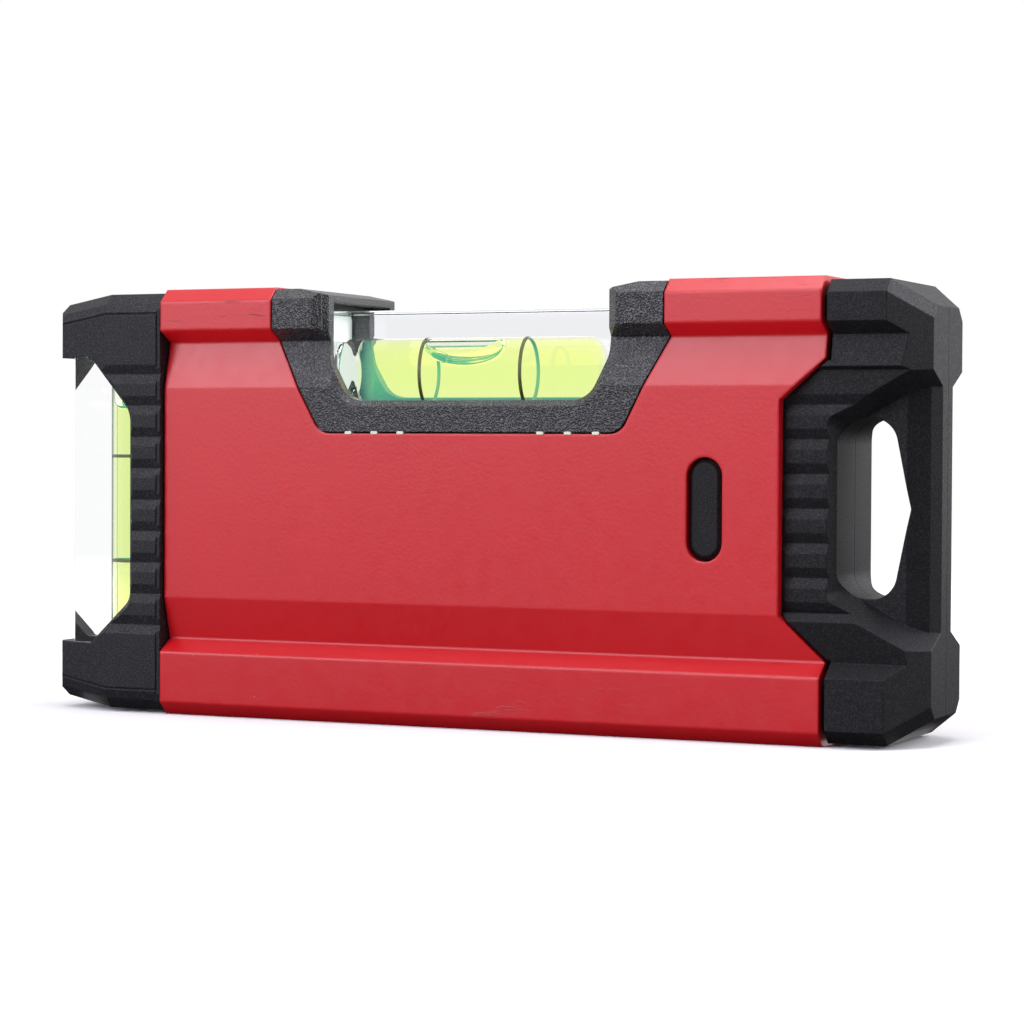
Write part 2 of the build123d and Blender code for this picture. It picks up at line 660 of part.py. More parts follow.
with BuildPart() as plumb_vial_retainer:
    with BuildSketch(Plane.YZ.offset(PLUMB_AXIS_X + BLOCK / 2 + SLIP)):
        with Locations((0, PLUMB_TOP - PLUMB_LENGTH / 2)):
            RectangleRounded(2 * NECK_BORE_HALF, PLUMB_LENGTH - SLIP, RETAINER_CORNER)
    extrude(amount=RETAINER_THICKNESS)

write(plumb_vial_retainer, "plumb_vial_retainer")

# --- Handle cap -------------------------------------------------------------------------

HANDLE_EDGE_Z = CAP_TOP - CAP_EDGE
HANDLE_EDGE_HALF = HANDLE_CAP_HALF - CAP_EDGE
HANDLE_FACETS = [
    # plan bevel towards the end
    [
        (HANDLE_CAP_BEND, HANDLE_CAP_HALF, 0),
        (HALF_LENGTH, HANDLE_CAP_END_HALF, 0),
        (HALF_LENGTH, HANDLE_CAP_END_HALF, HEIGHT),
    ],
    # slope of the top
    [
        (HANDLE_CAP_BEND, 0, CAP_TOP),
        (HANDLE_CAP_BEND, WIDTH, CAP_TOP),
        (HALF_LENGTH, 0, CAP_TOP - HANDLE_CAP_SLOPE_DROP),
    ],
    # chamfer along the straight part and along the slope
    [
        (0, HANDLE_CAP_HALF, HANDLE_EDGE_Z),
        (HANDLE_CAP_BEND, HANDLE_CAP_HALF, HANDLE_EDGE_Z),
        (0, HANDLE_EDGE_HALF, CAP_TOP),
    ],
    [
        (HANDLE_CAP_BEND, HANDLE_CAP_HALF, HANDLE_EDGE_Z),
        (HANDLE_CAP_BEND, HANDLE_EDGE_HALF, CAP_TOP),
        (HALF_LENGTH, HANDLE_CAP_END_HALF, HANDLE_EDGE_Z - HANDLE_CAP_SLOPE_DROP),
    ],
]
GRIP_OUTLINE = [
    (WIDTH, TOP_RAIL_FOOT),
    (HANDLE_CAP_HALF, TOP_RAIL_FOOT),
    (NECK_HALF, TOP_NECK),
    (GRIP_CREST_HALF, GRIP_TOP_CREST),
    (GRIP_HALF, GRIP_TOP_CREST - GRIP_TOP_FALL),
    (GRIP_HALF, GRIP_BOTTOM_CREST + GRIP_BOTTOM_FALL),
    (GRIP_CREST_HALF, GRIP_BOTTOM_CREST),
    (NECK_HALF, BOTTOM_NECK),
    (HANDLE_CAP_HALF, BOTTOM_RAIL_HEAD),
    (WIDTH, BOTTOM_RAIL_HEAD),
]
HOLE_CORNERS = [
    (HOLE_LEFT, HOLE_TOP, HOLE_LEFT_RADIUS),
    (HOLE_LEFT, HOLE_BOTTOM, HOLE_LEFT_RADIUS),
    (HOLE_END_RIGHT, HOLE_BOTTOM, HOLE_RIGHT_RADIUS),
    (HOLE_RIGHT, HOLE_MIDDLE, HOLE_NOSE_RADIUS),
    (HOLE_END_RIGHT, HOLE_TOP, HOLE_RIGHT_RADIUS),
]


def pocket_outline(side, half):
    """The hand loop's pocket at a half width. Its walls lean in towards the middle."""
    inset = (POCKET_HALF - half) * tan(radians(POCKET_TAPER))
    left = POCKET_LEFT + inset
    shift = inset * hypot(1, POCKET_RISE)
    top = POCKET_TOP - shift
    bottom = POCKET_BOTTOM + shift
    corners = [
        (left, top + POCKET_RISE * inset, POCKET_CORNER),
        (POCKET_REACH, top + POCKET_RISE * (POCKET_REACH - POCKET_LEFT), 0),
        (POCKET_REACH, bottom - POCKET_RISE * (POCKET_REACH - POCKET_LEFT), 0),
        (left, bottom - POCKET_RISE * inset, POCKET_CORNER),
    ]
    return side_outline(corners, y=side * half)


with BuildPart() as handle_cap:
    with BuildSketch(Plane.XY.offset(HEIGHT - CAP_TOP)):
        with Locations(((HANDLE_CAP_LEFT + HALF_LENGTH) / 2, 0)):
            Rectangle(HALF_LENGTH - HANDLE_CAP_LEFT, 2 * HANDLE_CAP_HALF)
    extrude(amount=2 * CAP_TOP - HEIGHT)
    for points in HANDLE_FACETS:
        for corners in on_all_edges(points):
            split(bisect_by=facet(*corners), keep=Keep.BOTTOM)
    # the part that fills the tube's notches
    notch_filler = side_outline(notch_corners(NOTCH_SEAM, HANDLE_CAP_LEFT + OVERSHOOT))
    extrude(notch_filler, amount=GRIP_CREST_HALF, both=True)
    # recessed grip, shaped like the tube's web
    with BuildSketch(Plane.YZ.offset(NOTCH_FLOOR)):
        for side in (1, -1):
            Polygon(*[(side * y, z) for y, z in GRIP_OUTLINE], align=None)
    extrude(amount=HALF_LENGTH - NOTCH_FLOOR, mode=Mode.SUBTRACT)
    # hollow spigot inside the tube
    extrude(
        cross_section(TUBE_OUTLINE, SPIGOT_LEFT, inset=WALL + SLIP),
        amount=HANDLE_CAP_LEFT + OVERSHOOT - SPIGOT_LEFT,
    )
    extrude(
        cross_section(TUBE_OUTLINE, SPIGOT_LEFT, inset=WALL + SLIP + SPIGOT_WALL),
        amount=SPIGOT_FLOOR - SPIGOT_LEFT,
        mode=Mode.SUBTRACT,
    )
    # two tongues with latches that snap into the slots
    with BuildSketch(Plane.XZ):
        with Locations((TONGUE_LEFT, SLOT_Z)):
            Rectangle(
                SPIGOT_LEFT + OVERSHOOT - TONGUE_LEFT,
                2 * TONGUE_HALF_HEIGHT,
                align=(Align.MIN, Align.CENTER),
            )
    extrude(amount=SKIRT_HALF, both=True)
    with BuildSketch(Plane.XZ):
        with Locations((TONGUE_LEFT, SLOT_Z)):
            Rectangle(
                SPIGOT_LEFT + 2 * OVERSHOOT - TONGUE_LEFT,
                2 * (TONGUE_HALF_HEIGHT + OVERSHOOT),
                align=(Align.MIN, Align.CENTER),
            )
    extrude(amount=SKIRT_HALF - TONGUE_THICKNESS, both=True, mode=Mode.SUBTRACT)
    for side in (1, -1):
        for start, end, taper in (
            (SKIRT_HALF - TONGUE_THICKNESS / 2, LATCH_HALF - LATCH_BEVEL, 0),
            (LATCH_HALF - LATCH_BEVEL, LATCH_HALF, 45),
        ):
            with BuildSketch(Plane((SLOT_X, side * start, SLOT_Z), x_dir=(1, 0, 0), z_dir=(0, side, 0))):
                SlotOverall(SLOT_LENGTH - 2 * SEAM, SLOT_WIDTH - 2 * SEAM, rotation=90)
            extrude(amount=end - start, taper=taper)
    # grip ribs
    add(rib_grooves(GRIP_HALF, NOTCH_FLOOR, HALF_LENGTH, HANDLE_RIB_PAIRS), mode=Mode.SUBTRACT)
    # pocket round the hand loop
    for side in (1, -1):
        loft([pocket_outline(side, HALF_WIDTH), pocket_outline(side, 0)], ruled=True, mode=Mode.SUBTRACT)
    # loop bar and the floor of the pocket
    with BuildSketch(Plane.XY.offset(BAR_BOTTOM)):
        Polygon(
            (BAR_LEFT, BAR_FLOOR_HALF),
            (BAR_FLOOR_X, BAR_FLOOR_HALF),
            (BAR_BEND_X, BAR_BEND_HALF),
            (HALF_LENGTH, BAR_EDGE_HALF),
            (HALF_LENGTH, -BAR_EDGE_HALF),
            (BAR_BEND_X, -BAR_BEND_HALF),
            (BAR_FLOOR_X, -BAR_FLOOR_HALF),
            (BAR_LEFT, -BAR_FLOOR_HALF),
            align=None,
        )
    extrude(amount=BAR_TOP - BAR_BOTTOM)
    extrude(side_outline(HOLE_CORNERS), amount=THROUGH, both=True, mode=Mode.SUBTRACT)

write(handle_cap, "handle_cap")

# --- Magnets ----------------------------------------------------------------------------

for name, (x, y) in zip(("magnet_left", "magnet_right"), MAGNET_POSITIONS):
    with BuildPart() as magnet:
        with BuildSketch(Plane.XY.offset(MAGNET_RECESS)):
            with Locations((x, y)):
                Circle(MAGNET_RADIUS)
        extrude(amount=MAGNET_THICKNESS)
        chamfer(magnet.edges().sort_by(Axis.Z)[0], MAGNET_RECESS)
    write(magnet, name)
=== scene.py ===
import math

import bmesh
import bpy
from mathutils import Matrix, Vector


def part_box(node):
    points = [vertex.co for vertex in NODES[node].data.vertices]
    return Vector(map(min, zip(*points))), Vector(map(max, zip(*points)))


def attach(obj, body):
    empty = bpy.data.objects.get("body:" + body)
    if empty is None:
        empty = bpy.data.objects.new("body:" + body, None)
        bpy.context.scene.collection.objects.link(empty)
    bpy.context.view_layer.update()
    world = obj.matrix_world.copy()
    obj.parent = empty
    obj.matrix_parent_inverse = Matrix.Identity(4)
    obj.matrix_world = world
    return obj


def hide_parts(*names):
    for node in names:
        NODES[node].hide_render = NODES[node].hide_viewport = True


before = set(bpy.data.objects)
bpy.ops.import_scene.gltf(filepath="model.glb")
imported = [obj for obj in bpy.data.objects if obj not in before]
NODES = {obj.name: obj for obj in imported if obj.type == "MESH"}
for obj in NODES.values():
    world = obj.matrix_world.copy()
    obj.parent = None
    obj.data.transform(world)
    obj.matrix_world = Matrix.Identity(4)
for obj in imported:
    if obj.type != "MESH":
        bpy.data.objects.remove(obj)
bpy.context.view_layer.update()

MM = 0.001

# refractive indices: the acrylic's own, and the others relative to what is round them. The air's is
# raised above its real value, so that the bubbles' edges stay as thin as they look in use.
ACRYLIC_IOR = 1.49
PLUG_IOR = 1.03
SPIRIT_IOR = 0.975
AIR_IOR = 0.85

# floor, in the millimetres that the materials work in: where it fades out, and the slot under the level
FADE_START, FADE_END = 170.0, 420.0
SLOT_HALF_LENGTH, SLOT_HALF_WIDTH = 48.0, 7.0

# stage: direction from the camera past the level, the floor's radius, and what the lamps face
BEHIND_LEVEL = (-0.418, 0.908, 0.0)
FLOOR_RADIUS = 0.45
LEVEL_MIDDLE = Vector((0, 0, 0.023))

# block vials, with depths measured along the bar from its plug end
TURN_STEPS = 96
BAR_EDGE = 0.14 * MM
BAR_EDGE_STEPS = 3
RECESS_RADIUS = 3.35 * MM
RECESS_DEPTH = 1.75 * MM
RECESS_LIP = 0.15 * MM
RECESS_ROUND = 0.5 * MM
SAWN_DEPTH = 0.10 * MM
SAWN_SKIN = 0.06 * MM
SAWN_GAP = 0.05 * MM
SAWN_FOOT = RECESS_DEPTH - 0.6 * MM
FILM = 0.02 * MM
PLUG_GAP = 0.12 * MM
PLUG_ROUND = 0.3 * MM
PLUG_FACE = 3.8 * MM
SPIRIT_ROUND = 0.25 * MM
CAVITY_END = 31.47 * MM
CAVITY_ROUND = 1.6 * MM

# bubbles: how much of the cavity's width and of the CAD bubble's height the level one takes up
LEVEL_BUBBLE_WIDTH, LEVEL_BUBBLE_HEIGHT = 0.98, 0.80
PLUMB_BUBBLE_SHOULDER = 0.3 * MM
PLUMB_BUBBLE_ROUND = 1.2 * MM
PLUMB_BUBBLE_SAG = 0.02 * MM

# ---------------------------------------------------------------------------- node helpers


def start_material(name):
    """A material with only its output, and its node tree."""
    material = bpy.data.materials.new(name)
    material.use_nodes = True
    tree = material.node_tree
    tree.nodes.clear()
    tree.nodes.new("ShaderNodeOutputMaterial")
    return material, tree


def node(tree, kind, inputs=None, **settings):
    """A node with its settings and inputs. An input that is a socket is linked, and others are set."""
    made = tree.nodes.new("ShaderNode" + kind)
    for key, value in settings.items():
        setattr(made, key, value)
    for key, value in (inputs or {}).items():
        if isinstance(value, bpy.types.NodeSocket):
            tree.links.new(value, made.inputs[key])
        else:
            made.inputs[key].default_value = value
    return made


def finish_material(tree, surface, volume=None):
    """Link the shaders to the output."""
    output = next(n for n in tree.nodes if n.type == "OUTPUT_MATERIAL")
    tree.links.new(surface, output.inputs["Surface"])
    if volume is not None:
        tree.links.new(volume, output.inputs["Volume"])


def place(tree, stretch=(1, 1, 1)):
    """Position in the level's own frame, in millimetres, stretched for streaks."""
    coords = node(tree, "TexCoord").outputs["Object"]
    scale = tuple(s / MM for s in stretch)
    return node(tree, "Mapping", {"Vector": coords, "Scale": scale}).outputs["Vector"]


def noise(tree, where, size, detail=2.0, roughness=0.5):
    """Noise from 0 to 1 whose blotches are about size millimetres across."""
    inputs = {"Vector": where, "Scale": 1 / size, "Detail": detail, "Roughness": roughness}
    return node(tree, "TexNoise", inputs).outputs["Fac"]


def math_node(tree, operation, a, b=0.0):
    """One sum on two numbers or sockets."""
    return node(tree, "Math", {0: a, 1: b}, operation=operation).outputs[0]


def remap(tree, value, low, high, to_low=0.0, to_high=1.0):
    """The value's range from low to high, stretched to the new range and held there."""
    inputs = {"Value": value, "From Min": low, "From Max": high, "To Min": to_low, "To Max": to_high}
    return node(tree, "MapRange", inputs).outputs["Result"]


def blend_colour(tree, factor, first, second):
    """From the first colour to the second as the factor goes from 0 to 1."""
    inputs = {"Factor": factor, 6: first, 7: second}
    return node(tree, "Mix", inputs, data_type="RGBA").outputs[2]


def bump(tree, height, depth, normal=None):
    """A bump of the depth, in millimetres, on top of an earlier normal."""
    inputs = {"Height": height, "Distance": depth * MM, "Strength": 1.0}
    if normal is not None:
        inputs["Normal"] = normal
    return node(tree, "Bump", inputs).outputs["Normal"]


def soft_edges(tree, radius):
    """A normal that rounds the sharp edges by the radius, in millimetres."""
    return node(tree, "Bevel", {"Radius": radius * MM}, samples=6).outputs["Normal"]


def specks(tree, where, spacing, size, share):
    """Scattered round specks: their spacing and radius in millimetres, and the share that shows."""
    cells = node(tree, "TexVoronoi", {"Vector": where, "Scale": 1 / spacing}, feature="F1")
    near = math_node(tree, "LESS_THAN", cells.outputs["Distance"], size / spacing)
    chosen = node(tree, "SeparateColor", {"Color": cells.outputs["Color"]}).outputs["Red"]
    return math_node(tree, "MULTIPLY", near, math_node(tree, "LESS_THAN", chosen, share))


# ---------------------------------------------------------------------------- materials


def red_coating():
    """Powder coat on aluminium: fine orange peel, dust specks, and scuffs on the rails."""
    material, tree = start_material("red_coating")
    where = place(tree)
    streaks = place(tree, stretch=(0.12, 1, 1))
    height = node(tree, "SeparateXYZ", {"Vector": where}).outputs["Z"]
    # the rails are what rubs against the work
    top_rail = remap(tree, height, 41.6, 42.2)
    bottom_rail = remap(tree, height, 6.9, 6.4)
    rails = math_node(tree, "MAXIMUM", top_rail, bottom_rail)
    scuff = remap(tree, noise(tree, streaks, 0.55, 4.0, 0.7), 0.60, 0.70)
    patches = remap(tree, noise(tree, streaks, 3.0, 1.0), 0.5, 0.62)
    scuff = math_node(tree, "MULTIPLY", math_node(tree, "MULTIPLY", scuff, patches), rails)
    cloud = noise(tree, where, 9.0, 3.0)
    colour = blend_colour(tree, cloud, (0.535, 0.003, 0.008, 1), (0.59, 0.005, 0.012, 1))
    colour = blend_colour(tree, math_node(tree, "MULTIPLY", scuff, 0.6), colour, (0.16, 0.02, 0.03, 1))
    dust = specks(tree, where, 2.6, 0.07, 0.28)
    colour = blend_colour(tree, math_node(tree, "MULTIPLY", dust, 0.5), colour, (0.85, 0.55, 0.5, 1))
    peel = noise(tree, where, 0.32, 2.0)
    rough = remap(tree, noise(tree, where, 1.4, 4.0), 0.3, 0.7, 0.29, 0.36)
    rough = math_node(tree, "ADD", rough, math_node(tree, "MULTIPLY", scuff, 0.25))
    normal = bump(tree, peel, 0.012, normal=soft_edges(tree, 0.34))
    normal = bump(tree, scuff, 0.01, normal=normal)
    inputs = {"Base Color": colour, "Roughness": rough, "Normal": normal, "Specular IOR Level": 0.64}
    finish_material(tree, node(tree, "BsdfPrincipled", inputs).outputs[0])
    return material


def moulded_black(name, base, painted_glint_share, grain_depth, rough_range, level, parting=False):
    """Spark-eroded black plastic: fine grain, with painted glints as pale specks in its colour, and a mould
    line along the middle.
    """
    material, tree = start_material(name)
    where = place(tree)
    grain = noise(tree, where, 0.15, 0.0, 0.6)
    blotch = noise(tree, where, 0.55, 3.0, 0.6)
    cloud = noise(tree, where, 5.0, 2.0)
    darker, paler = ((base * shade, base * shade, 1.25 * base * shade, 1) for shade in (0.8, 1.2))
    colour = blend_colour(tree, cloud, darker, paler)
    # pale specks of the grain blended into the base colour: painted glints, where the grain would catch the
    # light
    painted_glint = remap(tree, grain, 0.48, 0.62)
    painted_glint = math_node(tree, "MULTIPLY", painted_glint, remap(tree, blotch, 0.35, 0.65, 0.5, 1.0))
    painted_glint = math_node(tree, "MULTIPLY", painted_glint, painted_glint_share)
    colour = blend_colour(tree, painted_glint, colour, (0.30, 0.30, 0.32, 1))
    rough = remap(tree, grain, 0.3, 0.7, rough_range[1], rough_range[0])
    normal = bump(tree, grain, grain_depth, normal=soft_edges(tree, 0.18))
    if parting:
        depth = node(tree, "SeparateXYZ", {"Vector": where}).outputs["Y"]
        line = remap(tree, math_node(tree, "ABSOLUTE", depth), 0.09, 0.16, 1.0, 0.0)
        colour = blend_colour(tree, math_node(tree, "MULTIPLY", line, 0.9), colour, (0.004, 0.004, 0.005, 1))
        normal = bump(tree, line, -0.12, normal=normal)
    inputs = {"Base Color": colour, "Roughness": rough, "Normal": normal, "Specular IOR Level": level}
    finish_material(tree, node(tree, "BsdfPrincipled", inputs).outputs[0])
    return material


def clear_acrylic(name, tint):
    """Polished acrylic bar with the given tint and the faintest haze."""
    material, tree = start_material(name)
    where = place(tree)
    haze = remap(tree, noise(tree, where, 0.8, 4.0), 0.55, 0.85, 0.0, 0.05)
    inputs = {"Base Color": tint, "Roughness": haze, "Transmission Weight": 1.0, "IOR": ACRYLIC_IOR}
    finish_material(tree, node(tree, "BsdfPrincipled", inputs).outputs[0])
    return material


def inside_acrylic(name, ior, colour=(1, 1, 1, 1), volume=None):
    """Something clear inside the bar. Its IOR is relative to what is round it."""
    material, tree = start_material(name)
    inputs = {"Color": colour, "Roughness": 0.0, "IOR": ior}
    surface = node(tree, "BsdfGlass", inputs).outputs[0]
    inner = None
    if volume is not None:
        # the dye absorbs light, and its fluorescence is a painted glow: an emission that shines whatever the
        # lamps do
        absorbed, density, glow, painted_glow_strength = volume
        take = node(tree, "VolumeAbsorption", {"Color": absorbed, "Density": density})
        give = node(tree, "Emission", {"Color": glow, "Strength": painted_glow_strength})
        inner = node(tree, "AddShader", {0: take.outputs[0], 1: give.outputs[0]}).outputs[0]
    finish_material(tree, surface, inner)
    return material


def sawn_acrylic():
    """Satin end of the bar: fine saw marks that scatter the light."""
    material, tree = start_material("sawn_acrylic")
    where = place(tree)
    marks = noise(tree, place(tree, stretch=(1, 0.15, 1)), 0.25, 3.0, 0.6)
    colour = blend_colour(tree, noise(tree, where, 1.2, 3.0), (0.80, 0.84, 0.82, 1), (0.92, 0.94, 0.93, 1))
    normal = bump(tree, marks, 0.02)
    pale = node(tree, "BsdfDiffuse", {"Color": colour, "Normal": normal}).outputs[0]
    through = node(tree, "BsdfTranslucent", {"Color": colour, "Normal": normal}).outputs[0]
    finish_material(tree, node(tree, "MixShader", {0: 0.35, 1: pale, 2: through}).outputs[0])
    return material


def plain(name, colour, roughness, metallic=0.0, grain=0.02):
    """A simple surface with a fine mottle in its colour and gloss."""
    material, tree = start_material(name)
    where = place(tree)
    mottle = noise(tree, where, 0.5, 4.0, 0.6)
    darker = tuple(c * 0.78 for c in colour) + (1,)
    inputs = {
        "Base Color": blend_colour(tree, mottle, darker, tuple(colour) + (1,)),
        "Roughness": remap(tree, mottle, 0.3, 0.7, roughness - 0.06, roughness + 0.08),
        "Metallic": metallic,
        "Normal": bump(tree, mottle, grain, normal=soft_edges(tree, 0.1)),
    }
    finish_material(tree, node(tree, "BsdfPrincipled", inputs).outputs[0])
    return material


def floor_paper():
    """Pale studio paper. From below it lets the camera through."""
    material, tree = start_material("floor_paper")
    where = place(tree)
    shade = noise(tree, where, 60.0, 2.0)
    colour = blend_colour(tree, shade, (0.86, 0.86, 0.86, 1), (0.88, 0.88, 0.88, 1))
    away = node(tree, "VectorMath", {0: where}, operation="LENGTH").outputs["Value"]
    gone = remap(tree, away, FADE_START, FADE_END)
    under = node(tree, "NewGeometry").outputs["Backfacing"]
    gone = math_node(tree, "MAXIMUM", gone, under)
    # light comes up through a slot under the level, so that its underside isn't lost in the dark
    rays = node(tree, "LightPath").outputs
    across = node(tree, "SeparateXYZ", {"Vector": where}).outputs
    slot = math_node(tree, "SUBTRACT", 1.0, rays["Is Camera Ray"])
    for direction, reach in (("X", SLOT_HALF_LENGTH), ("Y", SLOT_HALF_WIDTH)):
        inside = math_node(tree, "LESS_THAN", math_node(tree, "ABSOLUTE", across[direction]), reach)
        slot = math_node(tree, "MULTIPLY", slot, inside)
    gone = math_node(tree, "MAXIMUM", gone, slot)
    # the level sees a darker floor than the camera does, so that its lower slopes stay deep in colour
    seen = math_node(tree, "MAXIMUM", rays["Is Camera Ray"], rays["Is Transmission Ray"])
    unseen = blend_colour(tree, rays["Is Diffuse Ray"], (0.05, 0.05, 0.05, 1), (0.50, 0.50, 0.50, 1))
    colour = blend_colour(tree, seen, unseen, colour)
    paper = node(tree, "BsdfDiffuse", {"Color": colour, "Roughness": 0.6}).outputs[0]
    clear = node(tree, "BsdfTransparent").outputs[0]
    finish_material(tree, node(tree, "MixShader", {0: gone, 1: paper, 2: clear}).outputs[0])
    return material


def studio_sky():
    """White all round for the camera. What lights the level is bright behind it and dim in front."""
    world = bpy.data.worlds.new("studio")
    world.use_nodes = True
    tree = world.node_tree
    tree.nodes.clear()
    heading = node(tree, "TexCoord").outputs["Generated"]
    behind = node(tree, "VectorMath", {0: heading, 1: BEHIND_LEVEL}, operation="DOT_PRODUCT")
    glow = remap(tree, behind.outputs["Value"], -0.25, 0.35, 0.03, 1.0)
    seen = node(tree, "LightPath").outputs["Is Camera Ray"]
    strength = math_node(tree, "MAXIMUM", glow, seen)
    background = node(tree, "Background", {"Color": (1, 1, 1, 1), "Strength": strength}).outputs[0]
    output = tree.nodes.new("ShaderNodeOutputWorld")
    tree.links.new(background, output.inputs["Surface"])
    bpy.context.scene.world = world


# ---------------------------------------------------------------------------- mesh helpers


def add_piece(name, bm, material, body, replaced):
    """Make an object from the bmesh, and say what it rides on and stands for. It lets the light through."""
    bmesh.ops.recalc_face_normals(bm, faces=bm.faces)
    if bm.calc_volume(signed=True) < 0:
        bmesh.ops.reverse_faces(bm, faces=bm.faces)
    mesh = bpy.data.meshes.new(name)
    bm.to_mesh(mesh)
    bm.free()
    mesh.materials.append(material)
    obj = bpy.data.objects.new(name, mesh)
    bpy.context.scene.collection.objects.link(obj)
    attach(obj, body)
    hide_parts(replaced)
    obj.visible_shadow = False
    return obj


def smooth_by_angle(obj, degrees):
    """Shade smooth, with edges sharper than the angle kept."""
    obj.data.shade_smooth()
    obj.data.set_sharp_from_angle(angle=math.radians(degrees))


def add_ring(bm, along, radius):
    """Points of a circle across the Z axis, or one point on the axis where the radius is 0."""
    if radius == 0:
        return [bm.verts.new((0, 0, along))]
    ring = []
    for step in range(TURN_STEPS):
        angle = math.tau * step / TURN_STEPS
        ring.append(bm.verts.new((radius * math.cos(angle), radius * math.sin(angle), along)))
    return ring


def join_rings(bm, rings):
    """A band of faces between each ring and the next. An end ring may be one point."""
    for first, second in zip(rings, rings[1:]):
        for step in range(TURN_STEPS):
            after = (step + 1) % TURN_STEPS
            if len(first) == 1:
                bm.faces.new((first[0], second[after], second[step]))
            elif len(second) == 1:
                bm.faces.new((first[step], first[after], second[0]))
            else:
                bm.faces.new((first[step], first[after], second[after], second[step]))


def revolve(profile, axis):
    """A closed turned shape. The profile lists (distance along the axis, radius) from end to end."""
    bm = bmesh.new()
    join_rings(bm, [add_ring(bm, along, radius) for along, radius in profile])
    bm.transform(axis)
    return bm


def arc(centre_along, centre_radius, size, start, end, steps):
    """Points of a rounded corner in a profile, as (distance along, radius)."""
    points = []
    for step in range(steps + 1):
        angle = math.radians(start + (end - start) * step / steps)
        points.append((centre_along + size * math.sin(angle), centre_radius + size * math.cos(angle)))
    return points


# ---------------------------------------------------------------------------- block vials


class Vial:
    """A block vial's axis and sizes, read from its CAD nodes."""

    def __init__(self, name, turn):
        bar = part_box(name + "_vial_block")
        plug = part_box(name + "_vial_plug")
        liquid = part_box(name + "_liquid")
        along = turn @ Vector((0, 0, 1))
        lengthwise = max(range(3), key=lambda i: abs(along[i]))
        crosswise = (lengthwise + 1) % 3
        self.name = name
        self.turn = turn
        self.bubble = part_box(name + "_bubble")
        self.middle = (plug[0] + plug[1]) / 2
        self.length = (bar[1] - bar[0])[lengthwise]
        self.width = (bar[1] - bar[0])[crosswise]
        self.radius = (plug[1] - plug[0])[crosswise] / 2
        # clear radius inside the rings, where the bubble runs
        self.bubble_wall = (liquid[1] - liquid[0])[crosswise] / 2
        start = self.middle.copy()
        start[lengthwise] = bar[0 if along[lengthwise] > 0 else 1][lengthwise]
        self.axis = Matrix.Translation(start) @ turn


def vial_bar(vial, material):
    """Square bar with softened edges and the plug's recess in its end."""
    bm = bmesh.new()
    bmesh.ops.create_cube(bm, size=1)
    for vert in bm.verts:
        vert.co = Vector((vert.co.x * vial.width, vert.co.y * vial.width, (vert.co.z + 0.5) * vial.length))
    edges = bm.edges[:]
    bmesh.ops.bevel(bm, geom=edges, offset=BAR_EDGE, segments=BAR_EDGE_STEPS, profile=0.5, affect="EDGES")
    # open the plug end and sink the recess into it
    end = min(bm.faces, key=lambda face: face.calc_center_median().z)
    outer = [loop.vert for loop in end.loops]
    bmesh.ops.delete(bm, geom=[end], context="FACES_ONLY")
    foot = RECESS_DEPTH - RECESS_ROUND
    profile = arc(RECESS_LIP, RECESS_RADIUS + RECESS_LIP, RECESS_LIP, 270, 180, 3)
    profile += [(foot, RECESS_RADIUS)]
    profile += arc(foot, RECESS_RADIUS - RECESS_ROUND, RECESS_ROUND, 0, 80, 6)
    rings = [add_ring(bm, along, radius) for along, radius in profile]
    join_rings(bm, rings)
    bm.faces.new(rings[-1])
    bm.edges.ensure_lookup_table()
    rim = [bm.edges.get(pair) for pair in zip(rings[0], rings[0][1:] + rings[0][:1])]
    square = [bm.edges.get(pair) for pair in zip(outer, outer[1:] + outer[:1])]
    bmesh.ops.triangle_fill(bm, edges=rim + square, use_beauty=True)
    bm.transform(vial.axis)
    bar = add_piece(vial.name + "_bar", bm, material, "level", vial.name + "_vial_block")
    smooth_by_angle(bar, 30)
    # the polished faces are flat right up to their softened edges
    for face in bar.data.polygons:
        face.use_smooth = max(abs(part) for part in face.normal) < 0.9999


def vial_end(vial, material):
    """The bar's sawn end and the recess's wall, as the light catches them from inside."""
    inner = RECESS_RADIUS + SAWN_GAP
    outer = inner + SAWN_SKIN
    back = SAWN_DEPTH + SAWN_SKIN
    half = vial.width / 2 - BAR_EDGE - SAWN_GAP
    # from the square outline in to the recess, down its wall and back, with None for the square
    profile = (
        (SAWN_DEPTH, None), (SAWN_DEPTH, inner), (SAWN_FOOT, inner),
        (SAWN_FOOT, outer), (back, outer), (back, None),
    )
    bm = bmesh.new()
    rings = []
    for along, radius in profile:
        ring = []
        for step in range(TURN_STEPS):
            angle = math.tau * (step + 0.5) / TURN_STEPS
            across, up = math.cos(angle), math.sin(angle)
            reach = radius or half / max(abs(across), abs(up))
            ring.append(bm.verts.new((across * reach, up * reach, along)))
        rings.append(ring)
    join_rings(bm, rings + rings[:1])
    bm.transform(vial.axis)
    end = add_piece(vial.name + "_bar_end", bm, material, "level", vial.name + "_vial_block")
    smooth_by_angle(end, 30)


def vial_plug(vial, material):
    """Clear plug under the recess, with rounded rims."""
    radius = vial.radius - FILM
    near, far = RECESS_DEPTH + PLUG_GAP, PLUG_FACE - PLUG_GAP
    profile = [(near, 0), (near, radius - PLUG_ROUND)]
    profile += arc(near + PLUG_ROUND, radius - PLUG_ROUND, PLUG_ROUND, 270, 360, 5)
    profile += arc(far - PLUG_ROUND, radius - PLUG_ROUND, PLUG_ROUND, 0, 90, 5)
    profile += [(far, 0)]
    bm = revolve(profile, vial.axis)
    plug = add_piece(vial.name + "_plug", bm, material, "level", vial.name + "_vial_plug")
    smooth_by_angle(plug, 40)


